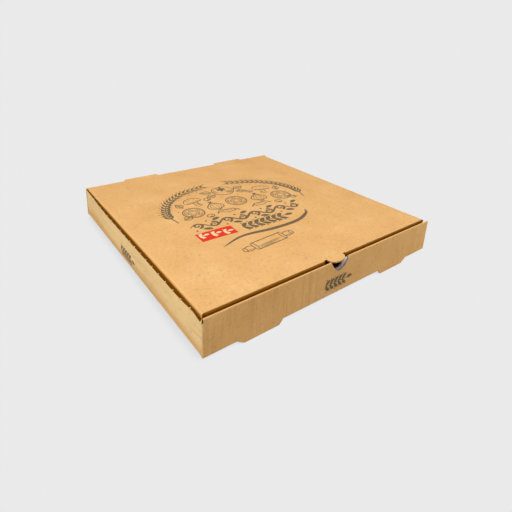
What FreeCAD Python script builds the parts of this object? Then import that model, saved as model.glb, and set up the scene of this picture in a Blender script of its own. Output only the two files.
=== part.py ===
import FreeCAD, Part
import math
import os

# A pizza box folded from one sheet of thin corrugated board, shut and standing on its lock tabs.
# The sheet is modelled as two solids that meet at the lid's crease: the tray and the lid.
# Origin: on the surface it stands on, under the middle of the tray. +X runs to the right of
# somebody who faces the front wall, +Y from the front wall to the hinge, +Z up. Millimetres.

# Whole box
width = 330.0            # outside of the side walls
depth = 330.0            # outside of the front and rear walls
height = 40.6            # base underside to lid top
board = 1.5              # thickness of the corrugated board
crease_inside = 0.4      # inside radius of a fold
margin = 3.0             # flat board that stays with a fold where it joins its panel

# Clearances
lay_gap = 0.15           # between boards that lie against each other
lid_fit = 0.3            # between the lid's flaps and the walls that they slide behind
mitre_gap = 0.1          # between tray and lid in the hinge crease
slot_fit = 0.6           # around a lid tab in its slot
lock_fit = 3.0           # from a lock tab to the ends of its slot

# Front wall, rolled over and locked in the base
roll_edge = 0.9          # thickness at the very top of the rolled edge
roll_crushed = 2.3       # thickness at the inside of the fold, where the boards are crushed
shoulder_drop = 6.0      # from the rolled edge down to where both boards run parallel
lock_drop = 4.4          # how far the lock slots' strips stand below the base
lock_width = 52.0        # a strip, at the base
lock_taper_outer = 7.0   # how far a strip's end towards the corner leans in
lock_taper_inner = 4.0   # how far its other end leans in
lock_spacing = 201.0     # middle to middle of the two strips
lock_shift = -2.6        # their common middle sits a little to the left
lock_reach = 1.3         # how far the inner board's tabs reach into the base

# Thumb notch in the front wall, a parabola
notch_half = 14.2
notch_depth = 13.6

# Side walls and their corner flaps
side_top = 37.0          # along most of the wall, above the base underside
side_rear_top = 38.8     # at the rear corner
side_slope_end = 60.0    # how far from the rear wall the top edge has come down
side_front_top = 33.8    # at the front corner
side_front_run = 13.0    # length of the drop there
side_lean = 1.6          # how far the top edge stands out between the corners
side_bulge = 1.4         # how far the panel swells out between its fold and its top edge
swell_front = 42.0       # length over which the swelling grows from the front corner
swell_rear = 105.0       # and from the rear corner
side_stations = 24       # equal steps along the wall, for its swollen face
flap_length = 66.0       # corner flap, from the side wall's outside
flap_top = 32.2          # above the base underside
flap_bevel = 7.0

# Lid
rear_tab_out = 4.6       # how far the two tabs stand out behind the rear wall
rear_tab_width = 55.0    # at the crease
rear_tab_taper = 1.8     # a tab's end leans in by this much
rear_tab_spacing = 161.0
tongue_out = 1.9         # how far the thumb tongue stands out in front of the front wall
tongue_half = 11.8
tongue_shift = -2.2      # the tongue sits a little to the left of the notch
relief_half = 16.0       # finger cut-out in the tuck flap, round the tongue
relief_depth = 19.0
tuck_length = 31.0       # front tuck flap, from the lid's top
tuck_lean = 7.0          # degrees that it leans into the box
tuck_bevel = 9.0
dust_length = 30.0       # side dust flaps, from the lid's top
dust_lean = 11.0
dust_bevel = 12.0
dust_rear_gap = 7.0      # from the rear wall's outside to the dust flap

# Derived levels and faces
base_low = lock_drop
base_high = base_low + board
base_mid = base_low + board / 2
top = base_low + height
lid_mid = top - board / 2
front = -depth / 2
rear = depth / 2
left = -width / 2
fold_out = crease_inside + board
fold_mid = crease_inside + board / 2
wall_layers = 3 * board + 2 * lay_gap
flap_front_mid = front + board + lay_gap + board / 2
flap_rear_mid = rear - board - lay_gap - board / 2
lid_half = width / 2 - board - lid_fit
lid_front = front + wall_layers + lid_fit
roll_pitch = board + lay_gap
cut_over = 1.0           # how far a cutting solid runs past what it cuts


def in_yz(x):
    """Places a drawing's (u, v) as (Y, Z) in the plane at x."""
    return lambda u, v: FreeCAD.Vector(x, u, v)


def in_xz(y):
    """Places a drawing's (u, v) as (X, Z) in the plane at y."""
    return lambda u, v: FreeCAD.Vector(u, y, v)


def in_xy(z):
    """Places a drawing's (u, v) as (X, Y) in the plane at z."""
    return lambda u, v: FreeCAD.Vector(u, v, z)


def prism(points, place, sweep):
    """A flat outline, placed in space and swept by a vector."""
    corners = [place(u, v) for u, v in points]
    outline = Part.makePolygon(corners + corners[:1])
    return Part.Face(outline).extrude(FreeCAD.Vector(*sweep))


def box(x, y, z):
    """A block between two values on each axis."""
    low = FreeCAD.Vector(x[0], y[0], z[0])
    return Part.makeBox(x[1] - x[0], y[1] - y[0], z[1] - z[0], low)


def board_face(path, radii, shift):
    """One face of a bent board: its middle line moved left by shift, as lines and three-point arcs."""
    units = []
    for (u0, v0), (u1, v1) in zip(path, path[1:]):
        length = math.hypot(u1 - u0, v1 - v0)
        units.append(((u1 - u0) / length, (v1 - v0) / length))
    pieces = []
    start = (path[0][0] - units[0][1] * shift, path[0][1] + units[0][0] * shift)
    for corner, before, after, radius in zip(path[1:-1], units, units[1:], radii):
        turn = math.atan2(before[0] * after[1] - before[1] * after[0],
                          before[0] * after[0] + before[1] * after[1])
        side = math.copysign(1.0, turn)
        reach = radius * math.tan(abs(turn) / 2)
        centre = (corner[0] - before[0] * reach - before[1] * radius * side,
                  corner[1] - before[1] * reach + before[0] * radius * side)
        bent = radius - side * shift
        out = math.atan2(-before[0] * side, before[1] * side)
        arc = [(centre[0] + bent * math.cos(out + turn * part),
                centre[1] + bent * math.sin(out + turn * part)) for part in (0.0, 0.5, 1.0)]
        pieces.append([start, arc[0]])
        pieces.append(arc)
        start = arc[2]
    last = (path[-1][0] - units[-1][1] * shift, path[-1][1] + units[-1][0] * shift)
    pieces.append([start, last])
    return pieces


def folded(path, radii, place, sweep):
    """Board of one thickness bent along a path of fold lines, swept along its folds."""
    near = board_face(path, radii, -board / 2)
    far = board_face(path, radii, board / 2)
    back = [piece[::-1] for piece in far[::-1]]
    loop = near + [[near[-1][-1], back[0][0]]] + back + [[back[-1][-1], near[0][0]]]
    edges = []
    for piece in loop:
        spots = [place(u, v) for u, v in piece]
        if (spots[0] - spots[-1]).Length < 1e-6:
            continue
        if len(spots) == 3:
            edges.append(Part.Arc(*spots).toShape())
        else:
            edges.append(Part.makeLine(*spots))
    return Part.Face(Part.Wire(edges)).extrude(FreeCAD.Vector(*sweep))


def half_ellipse(middle, level, half, deep, y):
    """A half-moon below a level, as a block that runs along Y through a wall."""
    curve = Part.Ellipse(FreeCAD.Vector(0, 0, 0), max(half, deep), min(half, deep))
    moon = curve.toShape()
    if deep > half:
        moon.rotate(FreeCAD.Vector(0, 0, 0), FreeCAD.Vector(0, 0, 1), 90)
    moon.rotate(FreeCAD.Vector(0, 0, 0), FreeCAD.Vector(1, 0, 0), 90)
    moon.translate(FreeCAD.Vector(middle, y[0], level))
    return Part.Face(Part.Wire(moon)).extrude(FreeCAD.Vector(0, y[1] - y[0], 0))


def parabola(level, half, deep, y):
    """A rounded notch below a level, as a block that runs along Y through a wall."""
    bow = Part.BezierCurve()
    bow.setPoles([FreeCAD.Vector(x, y[0], z)
                  for x, z in ((-half, level), (0, level - 2 * deep), (half, level))])
    lid_line = Part.makeLine(bow.EndPoint, bow.StartPoint)
    return Part.Face(Part.Wire([bow.toShape(), lid_line])).extrude(FreeCAD.Vector(0, y[1] - y[0], 0))


def joined(shapes):
    """One clean solid from pieces that touch or overlap."""
    return shapes[0].multiFuse(shapes[1:]).removeSplitter()


def both_sides(shape):
    """A shape and its mirror image across the middle of the box."""
    return [shape, shape.mirror(FreeCAD.Vector(0, 0, 0), FreeCAD.Vector(1, 0, 0))]


def strip_outline(middle, wide, left_taper, right_taper, root, tip):
    """A tab's outline: full width at its fold line, and narrower towards the tip."""
    return [(middle - wide / 2, root), (middle - wide / 2 + left_taper, tip),
            (middle + wide / 2 - right_taper, tip), (middle + wide / 2, root)]


# Front wall: fold at the base, outer board, rolled edge, shoulder, inner board
roll_mid = top - board / 2
outer_mid = front + board / 2
inner_mid = front + wall_layers - board / 2
shoulder = top - shoulder_drop
inner_low = base_high + 2 * lay_gap


def front_wall():
    """The double front wall over the box's full width, with its thumb notch."""
    path = [(front + margin, base_mid), (outer_mid, base_mid), (outer_mid, roll_mid),
            (outer_mid + roll_pitch, roll_mid), (inner_mid, shoulder), (inner_mid, inner_low)]
    radii = [fold_mid, roll_pitch / 2, roll_pitch / 2, 2 * board]
    wall = folded(path, radii, in_yz(left), (width, 0, 0))
    behind = front + wall_layers + cut_over
    crushed = prism([(front + roll_edge, top + cut_over), (front + roll_edge, top),
                     (front + roll_crushed, top - board), (front + wall_layers, shoulder),
                     (behind, shoulder), (behind, top + cut_over)],
                    in_yz(left - cut_over), (width + 2 * cut_over, 0, 0))
    notch = parabola(top, notch_half, notch_depth, (front - cut_over, behind))
    return wall.cut(crushed).cut(notch)


def lock_slots(wall):
    """Cuts the two lock slots beside the front fold and leaves their strips in the wall's plane."""
    for side, tapers in ((-1, (lock_taper_outer, lock_taper_inner)),
                         (1, (lock_taper_inner, lock_taper_outer))):
        middle = lock_shift + side * lock_spacing / 2
        ends = (middle - lock_width / 2, middle + lock_width / 2)
        slot = prism(strip_outline(middle, lock_width, *tapers, front, front + board + lock_drop),
                     in_xy(base_low - cut_over), (0, 0, cut_over + board + lay_gap))
        bend = box(ends, (front + board, front + fold_out), (base_low - cut_over, base_low + fold_out))
        strip = prism(strip_outline(middle, lock_width, *tapers, base_low, 0.0),
                      in_xz(front), (0, board, 0))
        root = box(ends, (front, front + board), (base_low, base_low + fold_out))
        tab = box((ends[0] + tapers[0] + lock_fit, ends[1] - tapers[1] - lock_fit),
                  (inner_mid - board / 2, inner_mid + board / 2), (base_high - lock_reach, inner_low))
        wall = wall.cut(slot.fuse(bend)).fuse([strip, root, tab])
    return wall


# The hinge crease: both solids end on a plane at 45 degrees through the outer corner
mitre_reach = 3 * margin


def lid_side(gap):
    """The space on the lid's side of the crease's mitre plane, moved into the tray by a gap."""
    points = [(rear + mitre_reach, top + mitre_reach), (rear - mitre_reach, top - mitre_reach),
              (rear - mitre_reach, top + mitre_reach)]
    space = prism(points, in_yz(left - cut_over), (width + 2 * cut_over, 0, 0))
    space.translate(FreeCAD.Vector(0, 0, -gap))
    return space


def rear_crease():
    """Base fold, rear wall, hinge crease and the lid's first few millimetres as one bent board."""
    path = [(rear - margin, base_mid), (rear - board / 2, base_mid),
            (rear - board / 2, lid_mid), (rear - margin, lid_mid)]
    return folded(path, [fold_mid, fold_mid], in_yz(left), (width, 0, 0))


def rear_wall():
    """The rear wall up to the crease, open where the lid's tabs swing through it."""
    wall = rear_crease().cut(lid_side(mitre_gap))
    for middle in (-rear_tab_spacing / 2, rear_tab_spacing / 2):
        half = rear_tab_width / 2 + slot_fit
        low = top - math.hypot(rear_tab_out, board) - slot_fit
        wall = wall.cut(box((middle - half, middle + half), (rear - margin, rear + cut_over),
                            (low, top + cut_over)))
    return wall


def side_section(y, low, high, grown):
    """Cross-section of the left wall's panel, swollen out by a part of the full amount."""
    lean = grown * side_lean
    swell = lean / 2 + 2 * grown * side_bulge
    sides = []
    for face in (left, left + board):
        spots = [(face, low), (face - swell, (low + high) / 2), (face - lean, high)]
        curve = Part.BezierCurve()
        curve.setPoles([FreeCAD.Vector(x, y, z) for x, z in spots])
        sides.append(curve)
    outer, inner = sides
    tops = Part.makeLine(outer.EndPoint, inner.EndPoint)
    feet = Part.makeLine(inner.StartPoint, outer.StartPoint)
    return Part.Wire(Part.__sortEdges__([outer.toShape(), tops, inner.toShape(), feet]))


def side_panel(low, front_bend, rear_bend):
    """Left wall's panel: evenly spaced sections, straight at both corners and swollen between them."""
    high = base_low + side_rear_top
    sections = []
    for station in range(side_stations + 1):
        y = front_bend + (rear_bend - front_bend) * station / side_stations
        near = min(1.0, (y - front_bend) / swell_front, (rear_bend - y) / swell_rear)
        sections.append(side_section(y, low, high, (1 - math.cos(math.pi * near)) / 2))
    return Part.makeLoft(sections, True, False)


def side_wall():
    """Left wall: base fold, panel with its sloping top edge, and a flap round each corner."""
    low = base_low + fold_out
    front_bend = flap_front_mid - board / 2 + fold_out
    rear_bend = flap_rear_mid + board / 2 - fold_out
    fold = folded([(left + margin, base_mid), (left + board / 2, base_mid), (left + board / 2, low)],
                  [fold_mid], in_xz(front + margin), (0, depth - 2 * margin, 0))
    outline = [(front_bend, low), (rear_bend, low), (rear_bend, base_low + side_rear_top),
               (rear - side_slope_end, base_low + side_top),
               (front_bend + side_front_run, base_low + side_top),
               (front_bend, base_low + side_front_top)]
    swollen = side_lean + side_bulge + cut_over
    panel = side_panel(low, front_bend, rear_bend)
    panel = panel.common(prism(outline, in_yz(left - swollen), (swollen + board + cut_over, 0, 0)))
    pieces = [fold, panel]
    for line, inward, corner_top in ((flap_front_mid, 1, side_front_top),
                                     (flap_rear_mid, -1, side_rear_top)):
        bend = line + inward * (fold_out - board / 2)
        path = [(left + board / 2, bend), (left + board / 2, line), (left + flap_length, line)]
        rise = base_low + corner_top - low
        strip = folded(path, [fold_mid], in_xy(low), (0, 0, rise))
        end = left + flap_length
        keep = [(left - cut_over, low), (end - flap_bevel, low), (end, low + flap_bevel),
                (end, base_low + flap_top - flap_bevel), (end - flap_bevel, base_low + flap_top),
                (left + fold_out + margin, base_low + flap_top),
                (left + fold_out, base_low + corner_top), (left - cut_over, base_low + corner_top)]
        keep_block = prism(keep, in_xz(line - margin), (0, 2 * margin, 0))
        pieces.append(strip.common(keep_block))
    return joined(pieces)


def tray():
    """Base with its four walls, one sheet."""
    base = box((left + margin, -left - margin), (front + margin, rear - margin), (base_low, base_high))
    sheet = joined([base, front_wall(), rear_wall()] + both_sides(side_wall()))
    return lock_slots(sheet).removeSplitter()


def tuck_flap():
    """The lid's front fold and tuck flap, cut away round the thumb tongue."""
    lean = math.radians(tuck_lean)
    crease = (lid_front + board / 2, lid_mid)
    end = (crease[0] + tuck_length * math.sin(lean), crease[1] - tuck_length * math.cos(lean))
    half = lid_half - margin
    flap = folded([(lid_front + margin, lid_mid), crease, end], [fold_mid],
                  in_yz(-half), (2 * half, 0, 0))
    low = top - tuck_length - margin
    keep = [(-half + tuck_bevel, low), (half - tuck_bevel, low), (half, top - margin),
            (half, top + cut_over), (-half, top + cut_over), (-half, top - margin)]
    flap = flap.common(prism(keep, in_xz(lid_front - cut_over), (0, 4 * margin, 0)))
    moon = half_ellipse(tongue_shift, top, relief_half, relief_depth,
                        (lid_front - cut_over, lid_front + fold_out))
    deeper = half_ellipse(tongue_shift, top - board - lay_gap, relief_half,
                          relief_depth - board - lay_gap, (lid_front - cut_over, lid_front + 4 * margin))
    below = box((tongue_shift - relief_half, tongue_shift + relief_half),
                (lid_front - cut_over, lid_front + 4 * margin), (low, lid_mid - board / 2))
    return flap.cut(moon).cut(deeper.common(below))


def dust_flap():
    """The lid's left fold and dust flap, with bevelled ends."""
    lean = math.radians(dust_lean)
    crease = (-lid_half + board / 2, lid_mid)
    end = (crease[0] + dust_length * math.sin(lean), crease[1] - dust_length * math.cos(lean))
    start = lid_front
    stop = rear - dust_rear_gap
    flap = folded([(-lid_half + margin, lid_mid), crease, end], [fold_mid],
                  in_xz(start), (0, stop - start, 0))
    low = top - dust_length - margin
    keep = [(start + dust_bevel, low), (stop - dust_bevel, low), (stop, top - margin),
            (stop, top + cut_over), (start, top + cut_over), (start, top - margin)]
    return flap.common(prism(keep, in_yz(-lid_half - cut_over), (4 * margin, 0, 0)))


def tongue():
    """The thumb tongue: half an ellipse in the lid's plane, over the notch."""
    long = lid_front - front + tongue_out
    curve = Part.Ellipse(FreeCAD.Vector(0, 0, 0), max(tongue_half, long), min(tongue_half, long))
    tip = curve.toShape()
    if long > tongue_half:
        tip.rotate(FreeCAD.Vector(0, 0, 0), FreeCAD.Vector(0, 0, 1), 90)
    tip.translate(FreeCAD.Vector(tongue_shift, lid_front, top - board))
    tip = Part.Face(Part.Wire(tip)).extrude(FreeCAD.Vector(0, 0, board))
    sides = (tongue_shift - tongue_half, tongue_shift + tongue_half)
    tip = tip.common(box(sides, (lid_front - 2 * long, lid_front), (top - board, top)))
    return tip.fuse(box(sides, (lid_front, lid_front + margin), (top - board, top)))


def lid():
    """Lid panel with its crease, tabs, tongue and three flaps, one sheet."""
    level = (top - board, top)
    side = lid_half - margin
    dust_stop = rear - dust_rear_gap
    panel = box((-side, side), (lid_front + margin, rear - margin), level)
    corner = box((-lid_half, -side), (dust_stop, rear - margin), level)
    pieces = [panel, rear_crease().common(lid_side(0)), tuck_flap(), tongue()]
    for piece in (corner, dust_flap()):
        pieces += both_sides(piece)
    for middle in (-rear_tab_spacing / 2, rear_tab_spacing / 2):
        half = rear_tab_width / 2
        pieces.append(box((middle - half, middle + half), (rear - margin, rear), level))
        pieces.append(prism(strip_outline(middle, rear_tab_width, rear_tab_taper, rear_tab_taper,
                                          rear, rear + rear_tab_out), in_xy(level[0]), (0, 0, board)))
    return joined(pieces)


os.makedirs("parts", exist_ok=True)
for name, shape in (("tray", tray()), ("lid", lid())):
    solid = shape.Solids[0] if len(shape.Solids) == 1 else shape
    solid.exportStep("parts/" + name + ".step")
    bounds = solid.BoundBox
    print(name, "solids", len(shape.Solids), "faces", len(solid.Faces), "valid", solid.isValid(),
          "volume", round(solid.Volume), "x", round(bounds.XMin, 2), round(bounds.XMax, 2),
          "y", round(bounds.YMin, 2), round(bounds.YMax, 2),
          "z", round(bounds.ZMin, 2), round(bounds.ZMax, 2))
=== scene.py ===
# %% [markdown]
# # A pizza box of brown corrugated board
# The box is one sheet, cut, creased and folded. Its solids are already exact: the tray with its
# rolled-over front wall, and the lid with its flaps, tabs and thumb tongue. This lesson dresses them:
# kraft paper with its fibres and flutes, the raw cut edges, the print, and the light.
# All lengths are in metres, and the pieces lie where the solids are.

# %% Load the frame
import math
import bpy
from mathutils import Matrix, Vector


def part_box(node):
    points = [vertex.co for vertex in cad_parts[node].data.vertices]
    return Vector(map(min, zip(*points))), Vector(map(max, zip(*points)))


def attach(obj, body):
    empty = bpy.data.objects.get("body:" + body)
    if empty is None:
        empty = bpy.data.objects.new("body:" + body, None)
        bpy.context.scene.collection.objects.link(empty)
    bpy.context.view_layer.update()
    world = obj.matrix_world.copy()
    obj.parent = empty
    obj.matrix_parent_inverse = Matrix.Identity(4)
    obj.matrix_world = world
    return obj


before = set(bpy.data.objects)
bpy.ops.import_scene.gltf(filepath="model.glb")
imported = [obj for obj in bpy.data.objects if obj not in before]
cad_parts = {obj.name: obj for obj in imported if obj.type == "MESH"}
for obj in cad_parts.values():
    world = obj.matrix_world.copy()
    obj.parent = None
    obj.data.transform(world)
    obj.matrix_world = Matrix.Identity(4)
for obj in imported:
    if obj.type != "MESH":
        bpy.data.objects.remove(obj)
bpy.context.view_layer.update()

from types import SimpleNamespace

import bpy
import numpy as np
from mathutils import Quaternion, Vector
from mathutils.bvhtree import BVHTree

tray_low, tray_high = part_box("tray")
lid_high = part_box("lid")[1]
mm = 0.001

# %% [markdown]
# Every later step needs the same few planes. The outer ones are read from the solids, so a print
# always lies on the board that carries it.

# %% Planes of the box
board = 1.5 * mm           # thickness of the corrugated board
flute_pitch = 3.3 * mm     # one wave of the paper inside it
wall_layers = 4.8 * mm     # thickness of the double front wall
rolled_edge = 0.9 * mm     # thickness at the very top of its rolled edge
rolled_fold = 2.3 * mm     # thickness one board further down
shoulder_drop = 6.0 * mm   # how far below the edge it has its full thickness
crease_x = 165.0 * mm      # outer faces of the side walls, at their creases
lid_gap = 0.3 * mm         # between the lid's flaps and the walls
lid_top = lid_high.z
front_face = tray_low.y
rear_face = tray_high.y
lid_front = front_face + wall_layers + lid_gap
fold_radius = 1.9 * mm     # outside radius of a crease
fold_x = crease_x - board - lid_gap - fold_radius      # where the lid's side creases begin
flat_from = lid_front + fold_radius                    # where its top is flat, behind the front crease
notch_half = 14.2 * mm     # the front wall's thumb notch: half its mouth, and its depth
notch_depth = 13.6 * mm
tongue_middle = -2.2 * mm  # the lid's thumb tongue is a little left of the middle
tongue_half = 13.0 * mm    # half its width, with a margin
print("lid top", round(lid_top, 4), "front wall", round(front_face, 4),
      "side walls", round(tray_high.x, 4))

# %% [markdown]
# Blender stores a shader as nodes and links, which is slow to read as code. This small class keeps
# each step to one call: it adds a node, sets what is a number and links what is a socket.

# %% Short calls for node trees
class Net:
    """A node tree with one call for each kind of step."""

    def __init__(self, tree):
        self.tree = tree
        self.count = 0

    def add(self, kind, inputs=(), **settings):
        """One node. inputs maps a socket's name or number to what feed gives it."""
        node = self.tree.nodes.new("ShaderNode" + kind)
        self.count += 1
        node.location = (180 * (self.count % 12), -220 * (self.count // 12))
        for key, value in settings.items():
            setattr(node, key, value)
        self.feed(node, dict(inputs))
        return node

    def feed(self, node, inputs):
        """Gives a node its inputs: a socket is linked, and a number is set."""
        for key, value in inputs.items():
            if isinstance(value, bpy.types.NodeSocket):
                self.tree.links.new(value, node.inputs[key])
            else:
                node.inputs[key].default_value = value

    def math(self, operation, first, *others):
        """An operation on one number, or carried from each number to the next."""
        result = first
        for other in others or (0.0,):
            result = self.add("Math", {0: result, 1: other}, operation=operation).outputs[0]
        return result

    def size(self, value):
        """A number without its sign."""
        return self.math("ABSOLUTE", value)

    def over(self, value, limit):
        """A mask: 1 where value is over limit, else 0."""
        return self.math("GREATER_THAN", value, limit)

    def under(self, value, limit):
        """A mask: 1 where value is under limit, else 0."""
        return self.math("LESS_THAN", value, limit)

    def product(self, *factors):
        """A product. Of masks it is the mask where all hold."""
        return self.math("MULTIPLY", *factors)

    def total(self, *terms):
        """A sum."""
        return self.math("ADD", *terms)

    def minus(self, value, less):
        """A difference."""
        return self.math("SUBTRACT", value, less)

    def largest(self, *values):
        """The largest number. Of masks it is the mask where any holds."""
        return self.math("MAXIMUM", *values)

    def parts(self, vector):
        """A vector's three numbers."""
        return self.add("SeparateXYZ", {0: vector}).outputs

    def ramp(self, value, low, high, start=0.0, stop=1.0):
        """A smooth step: start where value is under low, stop where it is over high."""
        node = self.add("MapRange", {0: value, 1: low, 2: high, 3: start, 4: stop},
                        interpolation_type="SMOOTHSTEP")
        return node.outputs[0]

    def mix(self, factor, a, b):
        """Two colours, mixed by a factor."""
        return self.add("Mix", {0: factor, 6: a, 7: b}, data_type="RGBA").outputs[2]

    def noise(self, vector, scale, detail=2.0, roughness=0.5):
        """Cloudy noise from 0 to 1, with about scale spots to a unit of its vector."""
        node = self.add("TexNoise", {"Vector": vector, "Scale": scale, "Detail": detail,
                                     "Roughness": roughness})
        return node.outputs[0]


def srgb(red, green, blue):
    """A colour as a painter writes it, from 0 to 255, turned into Blender's linear values."""
    steps = np.array([red, green, blue]) / 255
    linear = np.where(steps <= 0.04045, steps / 12.92, ((steps + 0.055) / 1.055) ** 2.4)
    return (*linear.tolist(), 1.0)


def new_group(name, inputs, outputs):
    """An empty node group with named sockets, and the nodes that hold its two ends."""
    tree = bpy.data.node_groups.new(name, "ShaderNodeTree")
    for label, kind in inputs:
        tree.interface.new_socket(name=label, in_out="INPUT", socket_type="NodeSocket" + kind)
    for label in outputs:
        tree.interface.new_socket(name=label, in_out="OUTPUT", socket_type="NodeSocketFloat")
    given = tree.nodes.new("NodeGroupInput").outputs
    result = tree.nodes.new("NodeGroupOutput").inputs
    return Net(tree), given, result


def new_material(name):
    """A material, its node net and its shader."""
    material = bpy.data.materials.new(name)
    material.use_nodes = True
    return material, Net(material.node_tree), material.node_tree.nodes["Principled BSDF"]


print("middle grey in linear light:", round(srgb(128, 128, 128)[0], 3))

# %% [markdown]
# Kraft paper isn't one colour. Recycled fibres leave cloudy patches, dark flecks and pale hairs,
# and the flutes press faint stripes into the liner. The stripes follow the flutes: front to rear on
# the base and the lid, along the side walls, and upright on the front and rear walls. So the group
# first works out two lengths on the sheet, across and along the flutes, and stretches them for
# stripes, for hairs and for what is even. The even one counts millimetres.

# %% The paper's pattern, as a node group
layers = ("Clouds", "Stripes", "Flecks", "Hairs_and_highlights", "Wrinkles", "Relief")
grain, given, result = new_group(
    "Kraft paper grain", [("Place", "Vector"), ("Facing", "Vector")], layers)
place = grain.parts(given["Place"])
facing = grain.parts(given["Facing"])
faces_side = grain.over(grain.size(facing[0]), 0.7)
faces_end = grain.over(grain.size(facing[1]), 0.7)
across = grain.add("Mix", {0: faces_side, 2: place[0], 3: place[2]}).outputs[0]
along = grain.add("Mix", {0: faces_end, 2: place[1], 3: place[2]}).outputs[0]
sheet_side = grain.total(facing[0], grain.product(facing[1], 2.0))
on_sheet = grain.add("CombineXYZ", {0: across, 1: along, 2: sheet_side}).outputs[0]
stretched, hair_run, even = (
    grain.add("Mapping", {"Vector": on_sheet, "Scale": per_metre}).outputs[0]
    for per_metre in ((640, 24, 1), (420, 160, 3), (1000, 1000, 5)))
print("grain group started:", len(grain.tree.nodes), "nodes")

# %% [markdown]
# Clouds are two noises of different size. Stripes are a thin and a broad noise, drawn out along the
# flutes and cut to their peaks, stronger in some patches than in others. Flecks and hairs are the
# centres of a few Voronoi cells, round for flecks and drawn out for hairs.

# %% The paper's pattern: clouds, stripes, flecks and hairs
broad = grain.noise(even, 0.022, 3.0)
fine = grain.noise(even, 0.30, 4.0, 0.65)
clouds = grain.total(grain.product(broad, 0.55), grain.product(fine, 0.45))
patches = grain.ramp(grain.noise(even, 0.012, 1.0), 0.42, 0.62, 0.12, 1.0)
thin_stripes = grain.ramp(grain.noise(stretched, 1.0, 3.0), 0.52, 0.72)
broad_stripes = grain.ramp(grain.noise(stretched, 0.28), 0.50, 0.66, 0.0, 0.55)
stripes = grain.product(grain.largest(thin_stripes, broad_stripes), patches)


def cell_centres(vector, scale, channel, rare, near, far):
    """Spots that are full nearer than near to a Voronoi cell's centre and gone beyond far. Only
    cells whose random colour has more than rare in one channel get a spot."""
    cells = grain.add("TexVoronoi", {"Vector": vector, "Scale": scale, "Randomness": 1.0}).outputs
    chosen = grain.over(grain.add("SeparateColor", {0: cells["Color"]}).outputs[channel], rare)
    return grain.product(grain.ramp(cells["Distance"], near, far, 1.0, 0.0), chosen)


flecks = cell_centres(even, 0.30, 0, 0.80, 0.04, 0.11)
loose_hairs = cell_centres(hair_run, 0.8, 1, 0.86, 0.05, 0.16)
print("grain group so far:", len(grain.tree.nodes), "nodes")

# %% [markdown]
# Wrinkles are the thin lines where a noise crosses its middle value, cut into short runs, and a pale
# crest of painted highlight follows them a little way off, where the bent paper catches the light. The
# relief is the washboard of the flutes and the paper's tooth, with stripes and wrinkles pressed in.

# %% The paper's pattern: wrinkles and relief
off_middle = grain.size(grain.minus(grain.noise(even, 0.24, 3.0, 0.6), 0.5))
short_runs = grain.ramp(grain.noise(even, 0.17), 0.50, 0.60)
wrinkles = grain.product(grain.ramp(off_middle, 0.006, 0.028, 1.0, 0.0), short_runs)
# Painted highlight: a pale crest a little way off each wrinkle.
off_crest = grain.size(grain.minus(off_middle, 0.042))
crest_highlights = grain.product(grain.ramp(off_crest, 0.004, 0.022, 0.8, 0.0), short_runs)
hairs_and_highlights = grain.largest(loose_hairs, crest_highlights)
washboard = grain.product(grain.math("SINE", grain.product(across, 2 * math.pi / flute_pitch)), 0.12)
tooth = grain.product(grain.noise(even, 1.4), 0.35)
pressed_in = grain.total(grain.product(stripes, 0.35), grain.product(wrinkles, 1.60))
relief = grain.minus(grain.total(washboard, tooth), pressed_in)
for label, value in zip(layers, (clouds, stripes, flecks, hairs_and_highlights, wrinkles, relief)):
    grain.tree.links.new(value, result[label])
print("grain group:", len(grain.tree.nodes), "nodes")

# %% [markdown]
# A cut edge shows the board's section: two liners with the waved paper between them. It is drawn
# from two lengths, one along the edge and one through the board, from -1 at one liner to 1 at the
# other. The paper is light near its wave's line, and the hollows get painted shade.

# %% The cut edge's pattern, as a node group
liner_inside = 0.62        # a liner's inner face, as a share of half the board's thickness
section, given, result = new_group(
    "Cut board section", [("Along", "Float"), ("Through", "Float")], ["Paper"])
liner = section.ramp(section.size(given["Through"]), liner_inside, 0.80)
swing = section.math("SINE", section.product(given["Along"], 2 * math.pi / flute_pitch))
distance = section.size(section.minus(given["Through"], section.product(swing, liner_inside)))
flute = section.ramp(distance, 0.12, 0.42, 1.0, 0.0)
section.tree.links.new(section.largest(liner, flute), result["Paper"])
print("section group:", len(section.tree.nodes), "nodes")

# %% [markdown]
# Shaded kraft isn't grey: light that bounces from paper to paper takes their colour each time, so
# the dark tones are orange browns.

# %% The kraft board's colours
kraft = srgb(241, 189, 127)
kraft_pale = srgb(248, 202, 142)
kraft_deep = srgb(230, 177, 114)
# The next two are painted light and painted shade: the side walls' pale upper part and tan lower part.
side_painted_light = srgb(246, 216, 163)
side_painted_shade = srgb(226, 182, 124)
stripe_brown = srgb(170, 118, 62)
fleck_brown = srgb(122, 64, 24)
# The next two are painted shade in narrow gaps at the front, and painted bounce light in those along the
# sides.
gap_painted_shade = srgb(152, 98, 3)
gap_painted_bounce = srgb(246, 184, 40)
# The next two are painted shade on the side walls' top edges and in the slots beside the front wall.
wall_top_painted_shade = srgb(98, 64, 4)
slot_painted_shade = srgb(92, 48, 8)
# The next two are painted shade on the lid's front and side creases.
front_crease_painted_shade = srgb(124, 82, 8)
side_crease_painted_shade = srgb(176, 120, 50)
# The next is pale paper on cut edges and hairs, and the painted highlight on the wrinkles' crests.
pale_paper_and_highlight = srgb(252, 218, 168)
# The next is painted shade in the hollows of a cut edge.
hollow_painted_shade = srgb(160, 112, 64)
print("kraft in linear light:", [round(v, 3) for v in kraft[:3]])

# %% [markdown]
# The paper goes from a deep to a pale kraft with the clouds. Stripes, wrinkles and flecks darken it,
# and hairs and painted highlights on the wrinkles lighten it. The swollen side walls get painted light
# above, pale, and painted shade below, tan. In these functions a spot holds what is known of the
# place that is coloured, such as which way it faces.

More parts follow.
